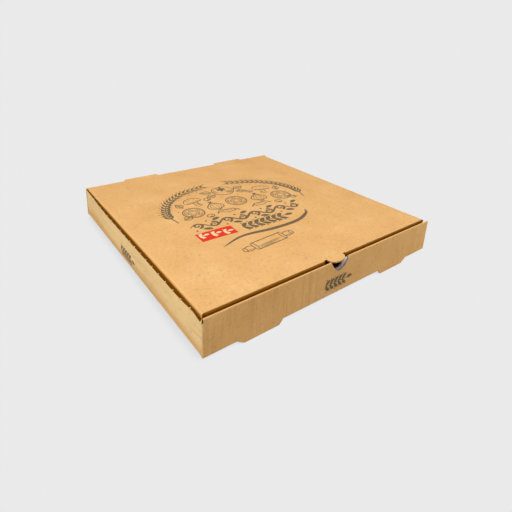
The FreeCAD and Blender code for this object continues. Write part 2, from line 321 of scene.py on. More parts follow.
# %% The paper's colour
# The side walls get painted shade below the first height and painted light above the second.
painted_shade_below = 10 * mm        # height on the side walls up to which they are tan
painted_light_above = 23 * mm       # and from which they are pale
border_waver = 14 * mm     # how far a noise from 0 to 1 moves that border


def paper_layers(net):
    """What the grain group gives in a material, and the texture coordinates that it reads."""
    where = net.add("TexCoord").outputs
    group = net.add("Group", {"Place": where["Object"], "Facing": where["Normal"]},
                    node_tree=grain.tree)
    return group.outputs, where


def side_wall_painted_shading(net, spot, colour):
    """Side walls: pale painted light on top, tan painted shade below the middle, with a soft wavering
    border.
    """
    is_side = net.ramp(net.size(spot.facing[0]), 0.75, 0.95)
    on_wall = net.add("CombineXYZ", {0: 0.0, 1: net.product(spot.place[1], 22.0),
                                     2: net.product(spot.place[2], 30.0)}).outputs[0]
    waver = net.product(net.minus(net.noise(on_wall, 1.0), 0.5), border_waver)
    height = net.total(spot.place[2], waver)
    tone = net.mix(net.ramp(height, painted_shade_below, painted_light_above), side_painted_shade, side_painted_light)
    return net.mix(net.product(is_side, 0.85), colour, tone)


def paper_colour(net, paper, spot):
    """Three krafts mixed by the clouds, with the other layers over them. Stripes show more on walls."""
    colour = net.mix(net.ramp(paper["Clouds"], 0.34, 0.50), kraft_deep, kraft)
    colour = net.mix(net.ramp(paper["Clouds"], 0.50, 0.68), colour, kraft_pale)
    # Painted light and painted shade on the side walls.
    colour = side_wall_painted_shading(net, spot, colour)
    streaky = net.ramp(net.size(spot.facing[2]), 0.5, 0.9, 0.32, 0.10)
    # The hairs layer also carries the painted highlight on the wrinkles' crests.
    for layer, strength, tone in (("Stripes", streaky, stripe_brown), ("Wrinkles", 0.38, stripe_brown),
                                  ("Flecks", 0.42, fleck_brown), ("Hairs_and_highlights", 0.40, pale_paper_and_highlight)):
        colour = net.mix(net.product(paper[layer], strength), colour, tone)
    return colour


print("side walls turn pale at", painted_shade_below, "to", painted_light_above)

# %% [markdown]
# Where the sheet was cut, its section shows. Those faces are found by where they are and by which
# way they face.

# %% Where the tray and the lid show their cut edges
slack = 0.05 * mm          # a face that lies on a limit still counts


def tray_edges(net, spot):
    """The front and rear walls' ends, and the undersides of the lock strips."""
    endwise = net.size(spot.place[1])
    wall_end = net.product(net.over(net.size(spot.facing[0]), 0.9),
                           net.over(endwise, rear_face - board - 2 * slack),
                           net.over(net.size(spot.place[0]), crease_x - slack))
    strip_end = net.product(net.under(spot.facing[2], -0.9), net.under(spot.place[2], 0.3 * mm))
    through = net.math("DIVIDE", net.minus(endwise, rear_face - board / 2), board / 2)
    return net.largest(wall_end, strip_end), net.product(spot.place[0], strip_end), through


def lid_edges(net, spot):
    """The lid panel's own edges: round the thumb tongue and the two rear tabs."""
    upright = net.under(net.size(spot.facing[2]), 0.5)
    in_panel = net.over(spot.place[2], lid_top - board - slack)
    ahead = net.under(spot.place[1], lid_front - slack)
    behind = net.over(spot.place[1], rear_face + slack)
    through = net.math("DIVIDE", net.minus(spot.place[2], lid_top - board / 2), board / 2)
    return net.product(upright, in_panel, net.largest(ahead, behind)), spot.place[0], through


print("an edge has", round(1 / flute_pitch), "flutes to a metre")

# %% [markdown]
# Painted shade darkens the side walls' top edges, the open slots beside the front wall and the lid's
# creases. Narrow gaps between the boards get painted shade, brown at the front, and painted bounce
# light, golden along the sides, where the pale side walls light them.

# %% Where painted shade darkens the tray and the lid
# The next two limit painted shade: in the slots beside the front wall, and along the lid's side creases.
slot_drop = 5 * mm         # the slots are dark down to this much below the lid's top
side_crease_end = rear_face - 7 * mm      # the brown of the side creases ends before the rear tabs


def tray_shade(net, spot, colour):
    """Painted shade in the gaps, on the side walls' top edges and in the open slots beside the front wall.
    """
    beside = net.size(spot.place[0])
    wall_top = net.product(net.over(spot.facing[2], 0.6),
                           net.over(beside, crease_x - board - 2 * slack),
                           net.under(net.size(spot.place[1]), rear_face - 2 * board))
    # Painted shade on the top edges, a little uneven along them, and in the slots.
    top_shade_waver = net.ramp(net.noise(spot.where, 500.0), 0.55, 0.80, 0.98, 0.90)
    slot = net.product(net.over(net.size(spot.facing[0]), 0.9),
                       net.over(beside, crease_x - slack),
                       net.under(spot.place[1], front_face + board + 2 * slack),
                       net.over(spot.place[2], lid_top - slot_drop))
    painted_shade = net.largest(net.product(wall_top, top_shade_waver), slot)
    # Painted shade and painted bounce light in narrow gaps.
    colour = net.mix(spot.gap, colour, spot.gap_tone)
    return net.mix(painted_shade, colour, net.mix(slot, wall_top_painted_shade, slot_painted_shade))


def lid_shade(net, spot, colour):
    """Painted shade on the lid's creases: deeper on the side ones as they turn down, even on the front
    one.
    """
    at_side = net.product(spot.aside, net.over(net.size(spot.place[0]), fold_x),
                          net.under(spot.place[1], side_crease_end))
    # Painted shade on the creases, deeper on the side ones the further the board turns down.
    turned = net.ramp(spot.place[2], lid_top - 3.0 * mm, lid_top + 0.2 * mm, 0.80, 0.0)
    at_front = net.ramp(spot.place[1], flat_from - 1.1 * mm, flat_from - 0.3 * mm, 1.0, 0.0)
    off_tongue = net.over(net.size(net.minus(spot.place[0], tongue_middle)), tongue_half)
    on_fold = net.largest(net.product(at_side, turned), net.product(at_front, off_tongue, 0.92))
    near_top = net.ramp(spot.place[2], lid_top - 9.0 * mm, lid_top - 5.0 * mm)
    crease_painted_shade = net.mix(spot.aside, front_crease_painted_shade, side_crease_painted_shade)
    colour = net.mix(net.product(on_fold, near_top), colour, crease_painted_shade)
    # Painted shade and painted bounce light in narrow gaps.
    return net.mix(spot.gap, colour, spot.gap_tone)


print("the lid's top is flat from", round(flat_from, 4))

# %% [markdown]
# One function puts these together, once for the tray and once for the lid. An ambient occlusion
# node measures how much open sky a place sees within a short reach, and that finds the gaps that
# get painted shade.

# %% The sheet's material on the tray and the lid
def kraft_board(name, cut_edges, shade, reach, closed, clear):
    """The sheet's material. Painted shade in narrow gaps is full where the open share of the sky within
    reach is under closed, and fades to nothing where it is over clear."""
    material, net, shader = new_material(name)
    paper, where = paper_layers(net)
    place = net.parts(where["Object"])
    aside = net.product(net.over(net.size(place[0]), fold_x - 1 * mm),
                        net.over(place[1], flat_from + 0.5 * mm))
    sky_share = net.add("AmbientOcclusion", {"Distance": reach}, samples=16).outputs["AO"]
    spot = SimpleNamespace(
        where=where["Object"], place=place, aside=aside,
        facing=net.parts(where["Normal"]),
        # A mask of painted shade in narrow gaps, and its colour: painted shade at the front, painted
        # bounce light along the sides.
        gap=net.ramp(sky_share, closed, clear, 0.97, 0.0),
        gap_tone=net.mix(aside, gap_painted_shade, gap_painted_bounce))
    mask, along, through = cut_edges(net, spot)
    cut = net.add("Group", {0: along, 1: through}, node_tree=section.tree).outputs[0]
    colour = paper_colour(net, paper, spot)
    # Cut faces: paper on the liners and the waved paper, and painted shade in the hollows.
    colour = net.mix(mask, colour, net.mix(cut, hollow_painted_shade, pale_paper_and_highlight))
    colour = shade(net, spot, colour)
    bump = net.add("Bump", {"Strength": 0.35, "Distance": 0.12 * mm, "Height": paper["Relief"]})
    rough = net.ramp(paper["Clouds"], 0.3, 0.7, 0.88, 0.74)
    net.feed(shader, {"Base Color": colour, "Roughness": rough, "Normal": bump.outputs[0],
                      "Specular IOR Level": 0.06})
    print(name, "has", len(net.tree.nodes), "nodes")
    return material


for node, looks in (("tray", (tray_edges, tray_shade, 6 * mm, 0.10, 0.55)),
                    ("lid", (lid_edges, lid_shade, 12 * mm, 0.30, 0.90))):
    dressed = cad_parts[node]
    dressed.data.materials.clear()
    dressed.data.materials.append(kraft_board("kraft_" + node, *looks))

# %% [markdown]
# Ink is a film on the paper, so each printed line is a thin closed ribbon along a path, with its
# own width at every point. It is a surface of two parameters, the way along the path and the way
# round its flat section. A stroke that swells in the middle is a leaf or a grain.

# %% Pen strokes on a drawing plane
def smooth_path(points, count):
    """Points of a smooth curve through a few given ones.

    Catmull-Rom: between two points, the curve is the cubic whose slopes are half the
    differences of the neighbours."""
    given = np.asarray(points, float)
    ends = np.vstack([2 * given[0] - given[1], given, 2 * given[-1] - given[-2]])
    at = np.linspace(0, len(given) - 1 - 1e-9, count)
    cell = at.astype(int)
    t = (at - cell)[:, None]
    p0, p1, p2, p3 = (ends[cell + k] for k in range(4))
    return 0.5 * (2 * p1 + (p2 - p0) * t + (2 * p0 - 5 * p1 + 4 * p2 - p3) * t ** 2
                  + (3 * p1 - p0 - 3 * p2 + p3) * t ** 3)


def swelling(count, ends):
    """A stroke's share of its width: ends at both ends, 1 in the middle, by a sine to the 0.7th."""
    return ends + (1 - ends) * np.sin(math.pi * np.linspace(0, 1, count)) ** 0.7


def stroke(points, width, count=14, ends=0.4):
    """A pen stroke through some points: its path and its half-width at each step."""
    return smooth_path(points, count), width / 2 * swelling(count, ends)


def ring(centre, radii, width, turn=0.0, lobes=0, depth=0.0, part=(0.0, 1.0), count=28):
    """An ellipse or a part of it, as a stroke. Lobes push its radius in and out by a cosine."""
    angle = 2 * math.pi * np.linspace(part[0], part[1], count)
    wavy = 1 + depth * np.cos(lobes * angle)
    x, y = radii[0] * np.cos(angle) * wavy, radii[1] * np.sin(angle) * wavy
    cosine, sine = math.cos(turn), math.sin(turn)
    path = np.stack([centre[0] + x * cosine - y * sine, centre[1] + x * sine + y * cosine], 1)
    whole = part[1] - part[0] > 0.999
    return path, width / 2 * (np.ones(count) if whole else swelling(count, 0.4))


def dot(centre, radius):
    """A round spot: a ring whose pen is as wide as its radius."""
    return ring(centre, (radius / 2, radius / 2), radius, count=11)


def spiral(centre, outer, width, start, way, turns=1.35, count=34):
    """A scroll's curl: the radius falls evenly from outer to a sixth of it while the angle runs."""
    along = np.linspace(0, 1, count)
    radius = outer * (1 - 0.84 * along)
    angle = start + way * 2 * math.pi * turns * along
    path = np.stack([centre[0] + radius * np.cos(angle), centre[1] + radius * np.sin(angle)], 1)
    return path, width / 2 * (1 - 0.55 * along)


def moved(strokes, to, turn=0.0, size=1.0, flip=1):
    """Strokes scaled, mirrored where flip is -1, turned and shifted on the drawing plane."""
    cosine, sine = math.cos(turn) * size, math.sin(turn) * size
    matrix = np.array([[flip * cosine, flip * sine], [-sine, cosine]])
    return [(path @ matrix + np.asarray(to), half) for path, half in strokes]


def mirrored(strokes):
    """Strokes and their mirror image about the drawing's upright middle line."""
    return strokes + [(path * (-1, 1), half) for path, half in strokes]


print("a stroke has", len(stroke([(0, 0), (1, 0)], 0.1)[0]), "points")

# %% [markdown]
# The motifs are plain kitchen garden drawings in millimetres, each round its own origin: a few
# ellipses and arcs, with short hatching on the shaded side.

# %% Motifs of leaves and grain
fine_pen = 0.75      # width of a thin line, in millimetres
firm_pen = 1.15


def hatch(*lines):
    """Thin straight pen lines, each from a point to a point."""
    return [stroke(line, fine_pen, 4) for line in lines]


def solid_leaf(length, half, bend=0.06):
    """A leaf or grain filled with ink: one stroke as wide as the leaf."""
    return [stroke([(0, 0), (length * 0.5, length * bend), (length, 0)], 2 * half, 13, 0.04)]


def leaf(length, fat, veins=4):
    """A leaf from the origin along +x: two arcs, a midrib, and veins that lean forward."""
    midrib = [(-length * 0.15, 0), (length * 0.5, fat * 0.05), (length * 0.94, 0)]
    strokes = [stroke([(0, 0), (length * 0.42, side * fat), (length, 0)], firm_pen, 13, 0.8)
               for side in (-1, 1)]
    strokes.append(stroke(midrib, firm_pen, 9))
    for k in range(veins):
        foot = length * (0.14 + 0.62 * k / veins)
        tip = foot + length * 0.15
        reach = fat * 0.74 * math.sin(math.pi * (0.22 + 0.6 * k / veins))
        strokes += hatch([(foot, 0), (tip, -reach)], [(foot, 0), (tip, reach)])
    return strokes


def wheat(points, grains=15, size=9.0):
    """An ear along a curve: pairs of solid grains with awns on the far part of its stem."""
    steps = 80
    first = 10                    # the step of the stem where the grains begin
    stem = smooth_path(points, steps)
    strokes = [(stem, np.linspace(0.8, 0.4, steps))]
    for k in range(grains):
        at = int(first + (steps - 2 - first) * k / (grains - 1))
        ahead = stem[min(at + 1, steps - 1)] - stem[at - 1]
        lean = math.atan2(ahead[1], ahead[0])
        for side in (-1, 1):
            awn = hatch([(size * 0.9, 0), (size * 1.55, side * 0.7)])
            awned = solid_leaf(size, size * 0.15, side * 0.10) + awn
            strokes += moved(awned, stem[at], lean + side * 0.55)
    return strokes


def laurel(length, pairs, size, fat):
    """A straight branch: a stem with pairs of solid leaves and a berry behind each pair."""
    splay = 0.72                  # the angle of a leaf to the stem
    strokes = [stroke([(0, 0), (length * 0.5, length * 0.01), (length, 0)], 1.3, 20)]
    for k in range(pairs):
        x = length * (0.02 + 0.88 * k / pairs)
        for side in (1, -1):
            strokes += moved(solid_leaf(size, fat, side * 0.06), (x, side * 0.3), side * splay)
        strokes += [dot((x + size * 0.20, side * size * 0.78), size * 0.09) for side in (-1, 1)]
    return strokes + moved(solid_leaf(size, fat), (length * 0.92, 0))


print("an ear of wheat has", len(wheat([(0, 0), (20, 5), (40, 0)])), "strokes")

# %% [markdown]
# The vegetables are drawn the same way, nearly all in shares of one radius, so that one function
# draws each at any size.

# %% Motifs of vegetables
def polar(distance, angle):
    """The point at a distance and an angle from the origin."""
    return (distance * math.cos(angle), distance * math.sin(angle))


def tomato(r):
    """A whole tomato: a lobed outline, a star of sepals, and hatching on both flanks."""
    flat = 0.88                   # height over width
    crown = (0, r * 0.36)
    strokes = [ring((0, 0), (r, r * flat), firm_pen * 1.2, lobes=5, depth=0.035, count=40)]
    for k in range(6):
        strokes += moved(solid_leaf(r * 0.50, r * 0.10), crown, 0.25 + k * math.pi / 3)
    strokes.append(stroke([crown, (r * 0.05, r * 0.8), (r * 0.22, r * 1.08)], 2.0, 8))
    hatches = [(0.40 + 0.09 * k, (0.78 + 0.008 * k, 0.99), 10) for k in range(6)]
    hatches += [(share, (0.40, 0.60), 9) for share in (0.70, 0.84)]
    for share, part, count in hatches:
        strokes.append(ring((0, 0), (r * share, r * share * flat), fine_pen, part=part, count=count))
    return strokes


def tomato_slice(r):
    """A cut tomato: skin, wall, and five chambers, each with three seeds."""
    strokes = [ring((0, 0), (r, r), firm_pen * 1.3, count=34),
               ring((0, 0), (r * 0.84, r * 0.84), fine_pen, count=30)]
    for k in range(5):
        turn = 0.3 + k * 2 * math.pi / 5
        strokes.append(ring(polar(r * 0.50, turn), (r * 0.25, r * 0.22), fine_pen, turn, count=16))
        for aside in (-0.25, 0.0, 0.25):
            strokes += moved(solid_leaf(r * 0.16, r * 0.045), polar(r * 0.43, turn + aside), turn)
    return strokes


def mushroom(r):
    """A mushroom cut in half: cap, stem, gills between them, and spots on the cap."""
    foot = -r * 1.08
    strokes = [ring((0, 0), (r, r * 0.82), firm_pen * 1.2, part=(0.0, 0.5), count=24),
               ring((0, 0), (r, r * 0.30), firm_pen * 1.2, part=(0.5, 1.0), count=20),
               ring((0, foot), (r * 0.34, r * 0.12), firm_pen, part=(0.5, 1.0), count=10)]
    for side in (-r, r):
        stem = [(side * 0.26, -r * 0.26), (side * 0.22, -r * 0.7), (side * 0.34, foot)]
        strokes.append(stroke(stem, firm_pen, 9))
    for k in range(-5, 6):
        strokes += hatch([(r * 0.13 * k, r * 0.06 * math.cos(0.25 * k)), (r * 0.16 * k, -r * 0.22)])
    for x in (r * 0.02, r * 0.11, r * 0.2):
        strokes += hatch([(x, -r * 0.5), (x + r * 0.04, -r)])
    spots = ((-0.45, 0.36), (-0.05, 0.55), (0.4, 0.4))
    return strokes + [dot((r * x, r * y), r * 0.07) for x, y in spots]


def onion(r):
    """A bulb: round below, drawn up into a neck, with lines that follow its layers."""
    strokes = []
    for q in (-1.0, -0.62, -0.25, 0.25, 0.62, 1.0):
        layer = [(0, -0.92), (q * 0.82, -0.52), (q, 0.0), (q * 0.52, 0.68), (q * 0.13, 1.0),
                 (q * 0.20, 1.42)]
        pen = firm_pen * 1.2 if abs(q) == 1.0 else fine_pen
        strokes.append(stroke(np.array(layer) * r, pen, 18, 0.8))
    for k in range(-2, 3):
        strokes += hatch([(k * r * 0.06, -r * 0.9), (k * r * 0.16, -r * 1.16)])
    return strokes


def olive(r):
    """An olive with its hole and a few curved hatches."""
    strokes = [ring((0, 0), (r, r * 0.78), firm_pen, count=20), dot((r * 0.42, r * 0.12), r * 0.2)]
    return strokes + [ring((0, 0), (r * q, r * 0.78 * q), fine_pen, part=(0.58, 0.86), count=8)
                      for q in (0.80, 0.62, 0.44)]


def chilli(length):
    """A chilli: two long arcs to a curled tip, a cap and a stalk, with hatching along the belly."""
    tip = (length, 5.4)
    strokes = [stroke([(0, 3.4), (length * 0.4, 5.2), (length * 0.8, 2.2), tip], firm_pen, 18, 0.8),
               stroke([(0, -3.4), (length * 0.4, -2.8), (length * 0.8, -1.6), tip], firm_pen, 18, 0.8),
               stroke([(0.4, 4.0), (-2.2, 0), (0.4, -4.0)], firm_pen * 1.5, 8, 0.8),
               stroke([(-1.6, 0), (-5, 0.8), (-8, 3.4)], 2.2, 8)]
    for k in range(8):
        start = length * (0.08 + 0.08 * k)
        strokes += hatch([(start, -2.4), (start + length * 0.05, 0.9)])
    return strokes


def rolling_pin(length, fat):
    """A rolling pin seen from the side: barrel, two handles and long hatches."""
    half = length / 2
    strokes = []
    for s in (-1, 1):
        strokes.append(stroke([(-half, s * fat), (half, s * fat)], firm_pen * 1.2, 10, 0.9))
        strokes.append(ring((s * half, 0), (fat * 0.3, fat), firm_pen, count=20))
        strokes.append(ring((s * (half + 14), 0), (2.2, fat * 0.5), firm_pen, count=14))
        for t in (-fat, fat):
            handle = [(s * (half + 1.5), t * 0.36), (s * (half + 7), t * 0.62),
                      (s * (half + 13), t * 0.46)]
            strokes.append(stroke(handle, firm_pen, 10, 0.9))
        strokes.append(stroke([(s * (half + 4), -fat * 0.3), (s * (half + 11), -fat * 0.3)], fine_pen, 5))
    return strokes + [stroke([(-half * 0.85, -fat * q), (half * (1.0 - q), -fat * q)], fine_pen, 8)
                      for q in (0.2, 0.4, 0.6, 0.8)]


print("a tomato has", len(tomato(10)), "strokes and a mushroom", len(mushroom(10)))

# %% [markdown]
# The print stands on the lid as a crest. Two ears of wheat make an arch over rows of vegetables,
# the same to the left and the right. Under it runs a vine scroll of a broad brush, then a red band
# beside a laurel branch, a sweep of the brush and a rolling pin.

# %% The lid's print, drawn in millimetres
def crest():
    """The arch of wheat and the vegetables under it."""
    half = wheat([(-96, -4), (-100, 24), (-88, 54), (-60, 77), (-22, 89)], 18, 10.5)
    half += moved(mushroom(13.5), (-55, 46), 0.25) + moved(tomato_slice(14), (-68, 14), 0.2)
    half += moved(onion(11.5), (-34, 20), 0.1) + moved(chilli(24), (-17, 1), math.pi - 0.12)
    half += moved(leaf(18, 5.8), (-18, 63), 2.85) + moved(leaf(16, 5.2), (-17, 54), 3.45)
    half += moved(leaf(15, 5), (-75, 33), 1.9) + moved(leaf(15, 5), (-86, -1), 0.5)
    half += moved(olive(5.4), (-34, 45), 0.5) + moved(olive(5.2), (-52, -3), 0.2)
    half += [dot(spot, 0.9) for spot in ((-50, 69), (-70, 60), (-50, 31), (-13, 42), (-36, 75), (-85, 24))]
    return mirrored(half) + moved(tomato(16.5), (0, 63)) + moved(tomato_slice(14.5), (0, 24))


def vine_scroll(half_run=80, level=-22, sway=6.5, bends=8):
    """A running scroll: a sine of the brush with a curl, a leaf and a berry in each bend."""
    steps = 120
    bend = 2 * half_run / bends
    x = np.linspace(-half_run, half_run, steps)
    wave = np.stack([x, level + sway * np.sin(x * math.pi / bend)], 1)
    strokes = [(wave, 1.6 * swelling(steps, 0.25))]
    for k in range(bends):
        side = 1 if k % 2 else -1
        middle, height = bend * (k + 0.5) - half_run, level - side * 1.5
        strokes.append(spiral((middle, height), 6.6, 3.6, side * math.pi / 2, -side))
        strokes += moved(solid_leaf(12, 2.9), (middle + 3, height + side * 9.5), side * 0.35)
        strokes.append(dot((middle - 5.5, height + side * 11), 1.5))
    return strokes


def lower_rows():
    """Laurel branch, brush sweep and rolling pin."""
    sweep = [(-66, -77), (-34, -65), (8, -66), (46, -62), (70, -50), (76, -40)]
    strokes = moved(laurel(72, 7, 12.0, 2.9), (-24, -47), 0.06)
    strokes.append(stroke(sweep, 5.4, 60, 0.08))
    return strokes + moved(rolling_pin(42, 7.5), (-14, -88), 0.16)


def band(length, height, bow):
    """The red band: one very wide stroke with a slight bow."""
    steps = 24
    path = smooth_path([(-length / 2, 0), (0, bow), (length / 2, 0)], steps)
    return [(path, np.full(steps, height / 2))]


dark_strokes = moved(crest(), (9, 1)) + vine_scroll() + lower_rows()
print("the print has", len(dark_strokes), "dark strokes")

# %% [markdown]
# A drawing comes onto the box by a function that gives, for each point of the drawing plane, the
# place on the board and the way out of it. On the lid and the front wall that is a flat plane. The
# left wall is swollen, so there each point is found by a ray that is cast at the solid.

# %% From the drawing plane to the board
tray_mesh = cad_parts["tray"].data
tray_tree = BVHTree.FromPolygons([v.co for v in tray_mesh.vertices],
                                 [tuple(p.vertices) for p in tray_mesh.polygons])


def on_plane(origin, right, up):
    """A flat drawing plane: p = origin + x right + y up in millimetres, and out = right cross up."""
    def onto(flat):
        return origin + flat @ np.array([right, up]) * mm, np.cross(right, up)
    return onto


def on_left(y, z):
    """The drawing plane bent onto the swollen left wall, read from its left to its right."""
    outside = on_plane((tray_low.x - 10 * mm, y, z), (0.0, -1.0, 0.0), (0.0, 0.0, 1.0))

    def onto(flat):
        starts, out = outside(flat)
        hits = [tray_tree.ray_cast(Vector(p), Vector(-out))[0] for p in starts.tolist()]
        return np.array([tuple(hit) for hit in hits]), out
    return onto


print("the tray is searched in", len(tray_mesh.polygons), "faces")

# %% [markdown]
# Strokes become ribbons here. Where they cross they lie at slightly different heights, so that no
# two faces share a plane.

# %% From strokes to printed ribbons
height_step = 0.0012       # from one stroke's height to the next one's, in millimetres
height_steps = 17          # after so many strokes the heights start again


def new_piece(name, points, faces, material, body):
    """A mesh object at the origin with one material, that rides on a body."""
    mesh = bpy.data.meshes.new(name)
    mesh.from_pydata(points, [], faces)
    mesh.materials.append(material)
    piece = bpy.data.objects.new(name, mesh)
    bpy.context.scene.collection.objects.link(piece)
    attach(piece, body)
    print(name, "has", len(faces), "faces")


def printed(name, strokes, onto, material, body, film=0.02):
    """Strokes as thin closed ribbons on the board, film millimetres high.

    A ribbon's section is a flat box of four corners, carried along the path: its left and
    right sides are the path plus and minus the half-width times the unit normal."""
    points, faces, first = [], [], 0
    for index, (path, half) in enumerate(strokes):
        wraps = np.allclose(path[0], path[-1], atol=1e-6)
        run = np.gradient(path, axis=0)
        if wraps:
            run[0] = run[-1] = run[0] + run[-1]
        run /= np.linalg.norm(run, axis=1, keepdims=True) + 1e-12
        side = np.stack([-run[:, 1], run[:, 0]], 1) * half[:, None]
        if wraps:
            path, side = path[:-1], side[:-1]
        height = (film + height_step * (index % height_steps)) * mm
        left_edge, out = onto(path + side)
        right_edge, _ = onto(path - side)
        corners = np.stack([left_edge + out * height, right_edge + out * height,
                            right_edge - out * height, left_edge - out * height], 1)
        count = len(path)
        rows = np.arange(count if wraps else count - 1)
        following = (rows + 1) % count
        for k in range(4):
            n = (k + 1) % 4
            quads = np.stack([rows * 4 + k, rows * 4 + n, following * 4 + n, following * 4 + k], 1)
            faces += (quads + first).tolist()
        if not wraps:
            last = first + 4 * (count - 1)
            faces += [[first, first + 3, first + 2, first + 1], [last, last + 1, last + 2, last + 3]]
        points += corners.reshape(-1, 3).tolist()
        first += 4 * count
    new_piece(name, points, faces, material, body)


print("films differ by", height_step * (height_steps - 1), "mm at most")

# %% [markdown]
# Flexographic ink on kraft is thin and never quite even. The paper's clouds show through it, and
# small spots stay bare, so each ink is mixed with the board's colour by the same grain group.

# %% Inks
def ink(name, tone, bare):
    """A printed film: its tone, let through by the grain, with a given share of bare spots."""
    material, net, shader = new_material(name)
    paper, where = paper_layers(net)
    speckle = net.noise(where["Object"], 1500.0)
    through = net.total(net.ramp(speckle, 0.58, 0.72, 0.0, bare), net.product(paper["Clouds"], 0.12))
    net.feed(shader, {"Base Color": net.mix(through, srgb(*tone), kraft), "Specular IOR Level": 0.3,
                      "Roughness": net.ramp(speckle, 0.3, 0.7, 0.62, 0.80)})
    print(name, "has", len(net.tree.nodes), "nodes")
    return material


dark_ink = ink("ink_olive_black", (92, 82, 62), 0.35)
red_ink = ink("ink_red", (231, 12, 4), 0.05)
cream_ink = ink("ink_cream", (250, 226, 182), 0.10)

# %% [markdown]
# The crest lies a little left and in front of the lid's middle, turned by a few degrees. The three
# cream sprigs lie on the red film, so they are higher. Two walls have one laurel sprig each.

# %% The prints on the lid, the front wall and the left wall
band_middle = (-58, -47)   # on the drawing plane, in millimetres
band_fall = 0.09           # how steeply the row of sprigs on it falls to the right
turn = math.radians(-5.0)
lid_sheet = on_plane((-17 * mm, -9 * mm, lid_top), (math.cos(turn), math.sin(turn), 0.0),
                     (-math.sin(turn), math.cos(turn), 0.0))
printed("lid_print", dark_strokes, lid_sheet, dark_ink, "lid")
printed("lid_print_band", moved(band(47, 19, 0.6), band_middle, 0.05), lid_sheet, red_ink, "lid")
band_leaves = []
for step in (-15, 0, 15):
    spot = (band_middle[0] + step - 6, band_middle[1] + 0.5 - band_fall * step)
    band_leaves += moved(laurel(6, 1, 7.5, 1.9), spot, 0.1)
printed("lid_print_band_leaves", band_leaves, lid_sheet, cream_ink, "lid", 0.06)
sprig = moved(laurel(36, 5, 9.0, 2.0), (-20.5, 0))
sprig_height = 18.5 * mm
front_sheet = on_plane((0.0, front_face, sprig_height), (1.0, 0.0, 0.0), (0.0, 0.0, 1.0))
printed("front_print", sprig, front_sheet, dark_ink, "tray")
printed("left_print", sprig, on_left(0.0, sprig_height), dark_ink, "tray", 0.05)

# %% [markdown]
# The thumb notch is lined: the cut through the rolled wall shows as a smooth silver-grey lip,
# pale at its inner rim. It is a surface of two parameters, the way round the notch's parabola and
# the way through the wall, and it swells in the middle of the wall so that it catches the light.

# %% The lip of the thumb notch
lip_ends = (-0.70, 0.88)   # where the lip ends on either side, as shares of the notch's half-width


def notch_lip(around=48, across=10, thick=0.30 * mm, crown=0.60 * mm):
    """x = a u + d n_x and z = top - h (1 - u u) + d n_z, with the notch's half-width a and depth h.
    The normal n of the parabola points into the opening, and d = thick + crown sin(pi s) on the
    open face and 0 on the board. s runs rearwards from 0 to 1."""
    u = np.linspace(*lip_ends, around)
    s = np.linspace(0, 1, across)
    steep = 2 * notch_depth * u
    length = np.hypot(notch_half, steep)
    level = lid_top - notch_depth * (1 - u * u)
    rear = front_face + np.interp(lid_top - level, (0, board, shoulder_drop),
                                  (rolled_edge, rolled_fold, wall_layers))
    front = front_face - 0.05 * mm
    way = np.concatenate([s, s[::-1]])
    inset = np.concatenate([thick + crown * np.sin(math.pi * s), np.zeros(across)])
    x = notch_half * u[:, None] - inset[None, :] * (steep / length)[:, None]
    z = level[:, None] + inset[None, :] * (notch_half / length)[:, None]
    y = front + (rear - front)[:, None] * way[None, :]
    count = 2 * across
    number = np.arange(around * count).reshape(around, count)
    following = np.roll(number, -1, axis=1)
    quads = np.stack([following[:-1], following[1:], number[1:], number[:-1]], 2)
    faces = quads.reshape(-1, 4).tolist() + [number[0].tolist(), number[-1, ::-1].tolist()]
    return np.stack([x, y, z], 2).reshape(-1, 3).tolist(), faces


print("the lip runs from", lip_ends[0] * notch_half, "to", lip_ends[1] * notch_half)

# %% [markdown]
# The lip's tone follows the way through the wall: grey with painted shade at the front, and the white
# liner with a painted highlight towards the rear rim. A few fibres are in it.

# %% The lip's material
# The first is painted shade at the lip's front, and the white one is the liner with a painted highlight.
lip_shade = srgb(122, 112, 106)
lip_grey = srgb(240, 230, 242)
lip_white_and_highlight = srgb(255, 250, 250)
lip_fibre = srgb(222, 214, 208)
lip, net, shader = new_material("silver_grey_lip")
where = net.add("TexCoord").outputs["Object"]
inward = net.ramp(net.parts(where)[1], front_face, front_face + wall_layers)
tone = net.mix(net.ramp(inward, 0.05, 0.45), lip_shade, lip_grey)
tone = net.mix(net.ramp(inward, 0.50, 0.80), tone, lip_white_and_highlight)
fibres = net.noise(where, 900.0, 3.0)
tone = net.mix(net.ramp(fibres, 0.45, 0.75, 0.0, 0.25), tone, lip_fibre)
net.feed(shader, {"Base Color": tone, "Roughness": net.ramp(fibres, 0.3, 0.7, 0.42, 0.58)})
new_piece("notch_lip", *notch_lip(), lip, "tray")

# %% [markdown]
# The side walls were held in the sheet by small nicks that tear when the blank is stripped. Each
# leaves a burr of paper on the wall's upper edge, a little loaf. Rays from above find the edge,
# which swells and slopes.

# %% The shape of a torn nick
def edge_top(side, y, tries=60, sky=0.2):
    """The middle and the height of a side wall's top edge at y, found by rays that fall from sky."""
    places = side * np.linspace(crease_x - 2 * mm, tray_high.x + 0.2 * mm, tries)
    hits = [tray_tree.ray_cast(Vector((x, y, sky)), Vector((0, 0, -1)))[0] for x in places.tolist()]
    heights = np.array([hit.z if hit else 0.0 for hit in hits])
    on_top = places[heights > heights.max() - 0.3 * mm]
    return on_top.mean(), heights.max()


